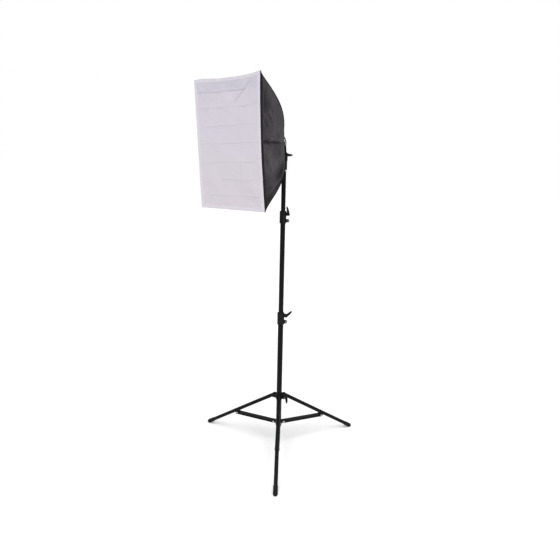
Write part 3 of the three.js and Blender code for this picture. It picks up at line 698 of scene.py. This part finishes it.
def right_folds(a, s, length):
    """The folds that show on the side panel next to the camera."""
    front = length

    def fold(start, end, width, height, bend=0.0):
        return ridge(a, s, start, end, width, height, bend)

    total = fold((0.006, front - 0.030), (0.002, 0.05), 0.008, -0.0095, bend=0.003)
    total = total + fold((0.022, front - 0.030), (0.012, 0.10), 0.012, 0.0038)
    total = total + fold((0.014, front - 0.034), (0.010, front - 0.090), 0.016, -0.0075)
    total = total + fold((0.240, front - 0.062), (0.130, front - 0.050), 0.012, -0.0120, bend=0.006)
    total = total + fold((0.235, front - 0.095), (0.100, front - 0.075), 0.016, 0.0045, bend=0.012)
    total = total + fold((0.165, front - 0.070), (0.085, front - 0.150), 0.010, -0.0060, bend=-0.010)
    total = total + fold((0.140, front - 0.060), (0.060, front - 0.140), 0.009, 0.0036, bend=-0.008)
    total = total + fold((0.070, front - 0.090), (0.030, front - 0.150), 0.008, 0.0026)
    total = total + fold((-0.045, front - 0.045), (-0.115, front - 0.075), 0.009, -0.0040, bend=0.006)
    total = total + fold((-0.060, front - 0.075), (-0.130, front - 0.110), 0.010, 0.0036, bend=0.006)
    total = total + fold((-0.215, front - 0.035), (-0.110, 0.110), 0.014, 0.0052, bend=-0.016)
    total = total + fold((-0.240, front - 0.030), (-0.140, 0.095), 0.013, -0.0070, bend=-0.016)
    for start, end, bend in WRINKLES:
        back = front - BAND_WIDTH
        line = (start[0], back - start[1]), (end[0], back - end[1])
        total = total + fold(*line, 0.0065, -0.0055, bend=bend)
    return total


def panel_grid(side, rows, columns, t0=0.0, t1=1.0, lift=0.0):
    """The folded outer face of a panel and its flat coordinates."""
    t = np.linspace(t0, t1, rows)[:, None] * np.ones((1, columns))
    u = np.ones((rows, 1)) * np.linspace(-1, 1, columns)[None, :]
    base = panel_surface(side, u, t)
    x, z, _ = corner_line(t)
    half = z if side in ("right", "left") else x
    full = HALF_H if side in ("right", "left") else HALF_W
    fine = panel_surface(side, np.zeros(400), np.linspace(0, 1, 400))
    run = np.concatenate([[0], np.cumsum(np.linalg.norm(np.diff(fine, axis=0), axis=1))])
    s = np.interp(t, np.linspace(0, 1, 400), run)
    a = half * u
    seed = {"right": 11, "left": 23, "top": 37, "bottom": 53}[side]
    fold = corner_folds(a, s, full, run[-1], seed)
    if side == "right":
        fold = fold * 0.8 + right_folds(a, s, run[-1])
    elif side == "left":
        fold = fold + right_folds(-a, s, run[-1]) * 0.6
    else:
        fold = fold + ridge(a, s, (0.02, run[-1] - 0.03), (0.0, 0.05), 0.011, -0.0038, 0.004)
        fold = fold + ridge(a, s, (-0.12, run[-1] - 0.05), (0.06, run[-1] - 0.11), 0.012, 0.0036, 0.010)
    edge = smoothstep(0.0, 0.05, 1 - np.abs(u)) * smoothstep(0.0, 0.10, t)
    edge = edge * smoothstep(0.0, 0.030, run[-1] - s)
    outward = -1.0 if side in ("right", "bottom") else 1.0
    normals = grid_normals(base) * outward
    centre = np.array([0.0, SHELL_REAR * 0.4, 0.0])
    if np.sum(normals * (base - centre)) < 0:
        normals, outward = -normals, -outward
    points = base + normals * (np.clip(fold, -0.013, 0.005) * edge + lift)[..., None]
    return points, np.stack([a, s], -1), outward, run[-1]


def stitches(name, lines, body, material, pitch=0.0042, length=0.0030, half=0.00042):
    """Thread along [path, normals] lines: one small capsule a stitch, half sunk in the cloth."""
    rings = [(-0.5, 0.0), (-0.36, 0.75), (0.0, 1.0), (0.36, 0.75), (0.5, 0.0)]
    sides = 6
    verts, faces = [], []
    for path, normals in lines:
        path, normals = np.asarray(path, float), np.asarray(normals, float)
        run = np.concatenate([[0], np.cumsum(np.linalg.norm(np.diff(path, axis=0), axis=1))])
        for k in range(int(run[-1] / pitch)):
            middle = (k + 0.5) * pitch
            places = [middle - length / 2, middle + length / 2]
            ends = [[np.interp(place, run, path[:, i]) for i in range(3)] for place in places]
            normal = np.array([np.interp(middle, run, normals[:, i]) for i in range(3)])
            normal /= np.linalg.norm(normal)
            ends = np.array(ends)
            along = ends[1] - ends[0]
            size = np.linalg.norm(along)
            along /= size
            across = np.cross(normal, along)
            centre = ends.mean(0) + normal * half * 0.35
            base = len(verts)
            for offset, share in rings[1:-1]:
                for j in range(sides):
                    angle = 2 * math.pi * j / sides
                    around = math.cos(angle) * across + 0.8 * math.sin(angle) * normal
                    verts.append(centre + along * offset * size + share * half * around)
            verts.append(centre + along * rings[0][0] * size - normal * half * 0.6)
            verts.append(centre + along * rings[-1][0] * size - normal * half * 0.6)
            first, last = base + 3 * sides, base + 3 * sides + 1
            for j in range(sides):
                n = (j + 1) % sides
                faces.append((first, base + n, base + j))
                for r in (0, 1):
                    a, b = base + r * sides, base + (r + 1) * sides
                    faces.append((a + j, a + n, b + n, b + j))
                faces.append((last, base + 2 * sides + j, base + 2 * sides + n))
    made = bpy.data.meshes.new(name)
    world = to_world(verts)
    faces.sort(key=len)
    made.from_pydata([tuple(v) for v in world], [], faces)
    made.update()
    made.polygons.foreach_set("use_smooth", [True] * len(made.polygons))
    made.materials.append(material)
    piece = bpy.data.objects.new(name, made)
    bpy.context.scene.collection.objects.link(piece)
    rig.ride(piece, body)
    return piece


def patch(a, s, place, size):
    """A soft oval patch on a panel."""
    return np.exp(-(((a - place[0]) / size[0]) ** 2) - ((s - place[1]) / size[1]) ** 2)


# Narrow wrinkles of the side panels: where each starts and ends, as height and distance behind the band,
# and its bend.
WRINKLES = (
    ((0.138, 0.018), (0.092, 0.105), 0.010),
    ((0.118, 0.012), (0.070, 0.060), -0.006),
    ((0.190, 0.060), (0.110, 0.120), 0.012),
    ((-0.050, 0.020), (-0.105, 0.050), 0.006),
    ((-0.062, 0.062), (-0.120, 0.036), -0.004),
)


def panel_tone_and_painted_shading(side, a, s, length):
    """How light the black cloth is, 0 to 1: uneven dye and rub at random, with painted shade along each side panel's
    middle tuck, and on the right panel painted light on two smooth patches and painted shade in its tucks, its
    wrinkles and its lower rear.
    """
    seed = {"right": 201, "left": 211, "top": 221, "bottom": 231}[side]
    tone = 0.56 + 0.12 * Waves(seed, 0.17)(a, s) + 0.05 * Waves(seed + 1, 0.05)(a, s)
    front = length - BAND_WIDTH
    if side in ("right", "left"):
        # Painted shade along the middle tuck of each side panel.
        tone = tone - 0.35 * patch(a, s, (0.003, front - 0.160), (0.007, 0.150))
    if side == "right":
        # Painted light on two smooth patches, and painted shade in the tucks, the lower rear and along the wrinkles.
        tone = tone + 0.15 * patch(a, s, (-0.085, front - 0.085), (0.070, 0.060))
        tone = tone + 0.12 * patch(a, s, (0.085, front - 0.130), (0.060, 0.085))
        tone = tone - 0.30 * patch(a, s, (0.185, front - 0.030), (0.065, 0.022))
        tone = tone - 0.30 * patch(a, s, (0.006, front - 0.040), (0.018, 0.045))
        tone = tone - 0.22 * smoothstep(0.035, -0.045, a - np.interp(s, (0.08, front), (-0.062, -0.190)))
        for start, end, bend in WRINKLES:
            line = (start[0], front - start[1]), (end[0], front - end[1])
            tone = tone - 0.16 * ridge(a, s, *line, 0.0060, 1, bend)
    return np.clip(tone, 0, 1)


def paint(piece, name, channels):
    """A colour attribute of up to four channels, given on a cloth's grid and used for both its faces."""
    count = channels[0].size
    values = np.zeros((2 * count, 4), np.float32)
    values[:, 3] = 1
    for k, channel in enumerate(channels):
        values[:, k] = np.tile(channel.ravel(), 2)
    made = piece.data.color_attributes.new(name, "FLOAT_COLOR", "POINT")
    made.data.foreach_set("color", values.ravel())


RODS = [f"spring_rod_{n}" for n in (1, 2, 3, 4)]
sheets = {}
for side in PANELS:
    grid, flat, outward, length = panel_grid(side, 150, 170)
    panel = cloth(f"fabric_{side}", grid, CLOTH_THICK, "softbox", [BLACK_NYLON, SILVER], flat, outward)
    # The panel's lightness with its painted light and shade, kept in a colour attribute.
    tone = panel_tone_and_painted_shading(side, flat[..., 0], flat[..., 1], length)
    paint(panel, "ToneAndPaintedShading", [tone, tone, tone])
    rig.replaces(panel, f"{side}_panel")
    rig.slot(panel, "black_fabric")

    t = np.linspace(0, 1, 400)
    x, z, _ = corner_line(t)
    wide = 2 * (HALF_H if side in ("right", "left") else HALF_W)
    widths = 2 * (z if side in ("right", "left") else x)
    fine = panel_surface(side, np.zeros(400), t)
    steps = np.linalg.norm(np.diff(fine, axis=0), axis=1)
    area = float(np.sum(steps * (widths[1:] + widths[:-1]) / 2))
    run = np.concatenate([[0], np.cumsum(steps)])

    # The black band that is sewn round the front edge, with a row of stitches along each side of it.
    band_start = float(np.interp(run[-1] - BAND_WIDTH, run, t))
    band_grid, band_flat, _, _ = panel_grid(side, 15, 170, band_start, 1.0, 0.0008)
    band = cloth(f"front_band_{side}", band_grid, 0.0010, "softbox", [BAND_NYLON], band_flat, outward)
    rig.slot(band, "black_fabric")
    normals = grid_normals(band_grid) * outward
    rows = [(band_grid[i], normals[i]) for i in (2, 12)]

    # A row of stitches beside each corner seam.
    seam_normals = grid_normals(grid) * outward
    columns = [(grid[6:138, j], seam_normals[6:138, j]) for j in (3, 166)]
    thread = stitches(f"seam_thread_{side}", rows + columns, "softbox", BLACK_THREAD)
    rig.slot(thread, "black_fabric")
    sheets[side] = dict(obj=panel, flat=(wide, length), area=area, with_pieces=[band, thread])

# Piping sewn into the four corner seams.
for number, (sx, sz) in enumerate(((1, 1), (1, -1), (-1, 1), (-1, -1)), 1):
    t = np.linspace(0.012, 0.998, 110)
    x, z, depth = corner_line(t)
    front = smoothstep(0.70, 1.0, t)
    x = x - pulled("right" if sx > 0 else "left", sz) * front
    z = z - pulled("top" if sz > 0 else "bottom", sx) * front
    path = np.stack([sx * (x + 0.0006), depth, sz * (z + 0.0006)], 1)
    piping = sweep(f"corner_piping_{number}", path, 0.0017, "softbox", PIPING, sides=10)
    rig.slot(piping, "black_fabric")
    sheets["right" if sx > 0 else "left"]["with_pieces"].append(piping)

# The cuff that gathers the four panels round the rod hub, with its pleats.
cuff_rows, cuff_columns = 16, 240
around, across = np.meshgrid(np.linspace(0, 2 * math.pi, cuff_columns), np.linspace(0, 1, cuff_rows))
pleat = 0.0009 * np.sin(26 * around + 1.5 * np.sin(3 * around)) * np.sin(math.pi * across) ** 0.5
CUFF_INNER, CUFF_WIDE, CUFF_BACK = 0.0430, 0.0115, 0.3575
cuff_radius = CUFF_INNER + CUFF_WIDE * across + pleat
cuff_depth = CUFF_BACK - 0.0085 * across**1.6 + 0.0018 * np.sin(math.pi * across) + pleat
cuff_grid = np.stack([cuff_radius * np.cos(around), cuff_depth, cuff_radius * np.sin(around)], -1)
cuff = cloth("rear_cuff", cuff_grid, CLOTH_THICK, "softbox", [BAND_NYLON],
             np.stack([around * CUFF_INNER, across * CUFF_WIDE], -1), 1.0)
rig.slot(cuff, "black_fabric")
sheets["top"]["with_pieces"].append(cuff)
for sheet in sheets.values():
    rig.sheet(held="stretched", rests_on=RODS, **sheet)

# ---------------------------------------------------------------- diffuser

HEM = 0.016
# Each packing crease: how sharp it is, and the stretches of it that are, from -X to +X.
CREASES = {
    0.241: (0.95, [(-0.206, 0.119)]),
    0.168: (0.80, [(-0.170, -0.026), (0.084, 0.142)]),
    0.083: (0.65, [(-0.160, 0.073)]),
    0.002: (0.50, [(-0.200, 0.210)]),
    -0.084: (0.50, [(-0.148, 0.210)]),
    -0.165: (0.65, [(-0.055, 0.142)]),
    -0.238: (0.65, [(-0.137, 0.210)]),
}
# Grid lines across a crease, from its middle.
CREASE_LINES = (-0.0062, -0.0044, -0.0030, -0.0018, -0.0006, 0.0006, 0.0018, 0.0030, 0.0046)
UPRIGHT_CREASES = {-0.150: 0.45, -0.063: 0.40, 0.004: 0.5, 0.080: 0.40}


def graded(half, marks):
    """Places of the grid's lines from -half to half: close at the hem's edges and at the creases."""
    places = [half - d for d in (0, 0.0007, 0.0018, 0.0045, 0.0080, 0.0115, HEM - 0.0016, HEM - 0.0006,
                                 HEM + 0.0006, HEM + 0.0018)]
    places += [-p for p in places]
    places += list(np.linspace(-half + HEM + 0.005, half - HEM - 0.005, int(2 * half / 0.0032)))
    for mark in marks:
        places += [mark + d for d in CREASE_LINES]
    places = np.sort(np.array(places))
    keep = np.concatenate([[True], np.diff(places) > 0.0006])
    places = places[keep]
    places[-1] = half
    return places


def diffuser_relief(x, z):
    """How far the cloth stands out at a place on the face, and how creased it is there, 0 to 1, which is painted as
    shade.
    """
    out = 0.0012 * Waves(71, 0.22)(x, z) + 0.00035 * Waves(72, 0.06)(x, z)
    mark = np.zeros_like(x)
    for k, (place, (strength, stretches)) in enumerate(CREASES.items()):
        wander = 0.0012 * Waves(80 + k, 0.16)(x, 0 * z) + 0.0004 * Waves(90 + k, 0.05)(x, 0 * z)
        local = strength * (0.78 + 0.30 * Waves(100 + k, 0.09)(x, 0 * z))
        sharp = sum(smoothstep(low - 0.012, low + 0.012, x) * smoothstep(high + 0.012, high - 0.012, x)
                    for low, high in stretches)
        local = np.clip(local, 0.12, 1.1) * (0.25 + 0.75 * sharp)
        d = z - place - wander
        out = out - 0.0013 * local * np.exp(-((d / 0.0016) ** 2))
        out = out + 0.0010 * local * np.exp(-(((d + 0.0042) / 0.0030) ** 2))
        out = out + 0.0006 * local * np.exp(-(((d - 0.0060) / 0.0050) ** 2))
        mark = np.maximum(mark, local * np.exp(-((d / 0.0020) ** 2)))
    for k, (place, strength) in enumerate(UPRIGHT_CREASES.items()):
        wander = 0.0016 * Waves(110 + k, 0.2)(0 * x, z)
        local = np.clip(strength * (0.5 + 0.5 * Waves(120 + k, 0.12)(0 * x, z)), 0.0, 1.0)
        d = x - place - wander
        out = out - 0.0007 * local * np.exp(-((d / 0.0018) ** 2))
        out = out + 0.0005 * local * np.exp(-(((d - 0.0045) / 0.0035) ** 2))
        mark = np.maximum(mark, 0.5 * local * np.exp(-((d / 0.0020) ** 2)))
    diagonal = ridge(x, z, (0.170, 0.284), (0.050, 0.184), 0.0045, 1.0)
    beside = ridge(x, z, (0.162, 0.290), (0.042, 0.190), 0.0060, 1.0)
    out = out - 0.0022 * diagonal + 0.0018 * beside
    for corner_x, corner_z in ((1, 1), (-1, 1), (1, -1), (-1, -1)):
        start = (corner_x * 0.192, corner_z * 0.282)
        for k, lean in enumerate((0.35, 1.05)):
            tip_x = start[0] - corner_x * 0.075 * math.cos(lean)
            tip = (tip_x, start[1] - corner_z * 0.095 * math.sin(lean))
            out = out + ridge(x, z, start, tip, 0.006, (-0.0012, 0.0012)[k])
    # The second value is painted shade: in the creases, and along the diagonal wrinkle.
    return out, np.clip(mark + 0.55 * diagonal, 0, 1)


columns, rows = graded(HALF_W, UPRIGHT_CREASES), graded(HALF_H, CREASES)
flat_x, flat_z = np.meshgrid(columns, rows)
u, v = flat_x / HALF_W, flat_z / HALF_H
face_x = flat_x - pulled("right", v) * np.maximum(u, 0) ** 2 + pulled("left", v) * np.maximum(-u, 0) ** 2
face_z = flat_z - pulled("top", u) * np.maximum(v, 0) ** 2 + pulled("bottom", u) * np.maximum(-v, 0) ** 2
relief, mark = diffuser_relief(flat_x, flat_z)
edge = np.minimum(HALF_W - np.abs(flat_x), HALF_H - np.abs(flat_z))
relief = relief * smoothstep(0.002, 0.040, edge) + 0.0004 * smoothstep(0.0, 0.0025, edge)
hem_share = 1 - smoothstep(HEM - 0.0012, HEM + 0.0012, edge)
PUCKER, PUCKER_PITCH = 0.00022, 0.0085
pucker = PUCKER * np.sin((flat_x + flat_z) * 2 * math.pi / PUCKER_PITCH)
pucker = pucker * smoothstep(0.004, 0.010, edge) * hem_share
SHEET_BACK = 0.0025
thickness = 0.0011 + 0.0010 * hem_share
front_depth = SHEET_BACK - 0.0021 - relief - pucker - 0.0006 * hem_share
face = np.stack([face_x, front_depth, face_z], -1)
outward = 1.0 if grid_normals(face)[0, 0, 1] < 0 else -1.0
diffuser = cloth("diffuser_cloth", face, thickness, "front_diffuser", [WHITE_NYLON],
                 np.stack([flat_x, flat_z], -1), outward)
# Painted shade: the strip above the top crease is darker. The channels are painted crease shade, hem, painted top
# shade and a pinker lower part.
painted_top_shade = smoothstep(0.236, 0.244, flat_z) * (0.75 + 0.25 * Waves(61, 0.1)(flat_x, flat_z))
paint(diffuser, "Crease", [mark, hem_share, np.clip(painted_top_shade, 0, 1), smoothstep(0.12, -0.20, flat_z)])
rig.replaces(diffuser, "diffuser")
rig.slot(diffuser, "white_fabric")

lines = []
normals = grid_normals(face) * outward
HEM_ROWS = 0.0030, 0.0130  # the two rows of stitches, from the face's edge
for inset in HEM_ROWS:
    i, j = np.argmin(np.abs(rows - (HALF_H - inset))), np.argmin(np.abs(columns - (HALF_W - inset)))
    low_i, low_j = np.argmin(np.abs(rows + HALF_H - inset)), np.argmin(np.abs(columns + HALF_W - inset))
    wide, high = slice(low_j, j + 1), slice(low_i, i + 1)
    lines += [(face[i, wide], normals[i, wide]), (face[low_i, wide], normals[low_i, wide])]
    lines += [(face[high, j], normals[high, j]), (face[high, low_j], normals[high, low_j])]
hem_thread = stitches("hem_thread", lines, "front_diffuser", WHITE_THREAD)
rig.slot(hem_thread, "white_fabric")
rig.sheet(diffuser, flat=(2 * HALF_W, 2 * HALF_H), held="stretched",
         rests_on=[f"front_band_{side}" for side in PANELS], with_pieces=[hem_thread])

# ---------------------------------------------------------------- scene

ROOM_LIGHT, OVERHEAD = 0.45, 2.9

floor_mesh = bpy.data.meshes.new("floor")
floor_mesh.from_pydata([(-30, -30, 0), (30, -30, 0), (30, 30, 0), (-30, 30, 0)], [], [(0, 1, 2, 3)])
floor = bpy.data.objects.new("floor", floor_mesh)
bpy.context.scene.collection.objects.link(floor)
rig.stage(floor)
floor_look = Look("floor_paint", (0.92, 0.92, 0.92), 0.8)
floor_look.colored(floor_look.ramp(floor_look.noise(1.5, 3), (0.915, 0.915, 0.915), (0.925, 0.925, 0.925)))
floor_mesh.materials.append(floor_look.material)

world = bpy.data.worlds.new("studio")
world.use_nodes = True
tree = world.node_tree
rays, seen = tree.nodes.new("ShaderNodeLightPath"), tree.nodes.new("ShaderNodeMapRange")
seen.inputs["To Min"].default_value, seen.inputs["To Max"].default_value = ROOM_LIGHT, 1.0
tree.links.new(rays.outputs["Is Camera Ray"], seen.inputs["Value"])
tree.links.new(seen.outputs["Result"], tree.nodes["Background"].inputs["Strength"])
tree.nodes["Background"].inputs["Color"].default_value = (1, 1, 1, 1)
bpy.context.scene.world = world
bpy.context.scene.view_settings.view_transform = "Standard"


def lamp(name, kind, place, target, power, size=0.0, wide=0.0):
    data = bpy.data.lights.new(name, kind)
    data.energy = power
    if kind == "AREA":
        data.size = size
    else:
        data.angle = math.radians(wide)
    made = bpy.data.objects.new(name, data)
    made.location = place
    made.rotation_euler = (Vector(target) - Vector(place)).to_track_quat("-Z", "Y").to_euler()
    bpy.context.scene.collection.objects.link(made)


lamp("overhead", "SUN", (1.6, -1.9, 4.2), (0, 0, 0), OVERHEAD, wide=64)
lamp("side_panel", "AREA", (3.4, 0.6, 2.6), (0.2, -0.2, 1.6), 30, size=1.2)

CAMERA_DISTANCE, CAMERA_TURN, CAMERA_HEIGHT = 2.8328, 40.912, 1.5260
PAN, PITCH, ROLL = math.radians(-0.1793), math.radians(10.996), math.radians(1.207)
turn = math.radians(CAMERA_TURN)
camera = bpy.data.objects.new("camera", bpy.data.cameras.new("camera"))
camera.location = (
    COLUMN_X + CAMERA_DISTANCE * math.sin(turn),
    COLUMN_Y - CAMERA_DISTANCE * math.cos(turn),
    CAMERA_HEIGHT,
)
level = math.cos(PITCH)
heading = Vector((math.sin(PAN - turn) * level, math.cos(PAN - turn) * level, -math.sin(PITCH)))
camera.rotation_mode = "QUATERNION"
rolled = Matrix.Rotation(ROLL, 3, "Z").to_quaternion()
camera.rotation_quaternion = heading.to_track_quat("-Z", "Y") @ rolled
SENSOR, FOCAL_SHARE = 36, 0.9405536  # the sensor's width in mm, and the focal length as a share of it
camera.data.sensor_width = SENSOR
camera.data.lens = FOCAL_SHARE * SENSOR
bpy.context.scene.collection.objects.link(camera)
bpy.context.scene.camera = camera

with open("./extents.json", "w") as out:
    json.dump({"cad": [list(v) for v in CAD_BOX], "visual": [list(v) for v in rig.bounds()]}, out)
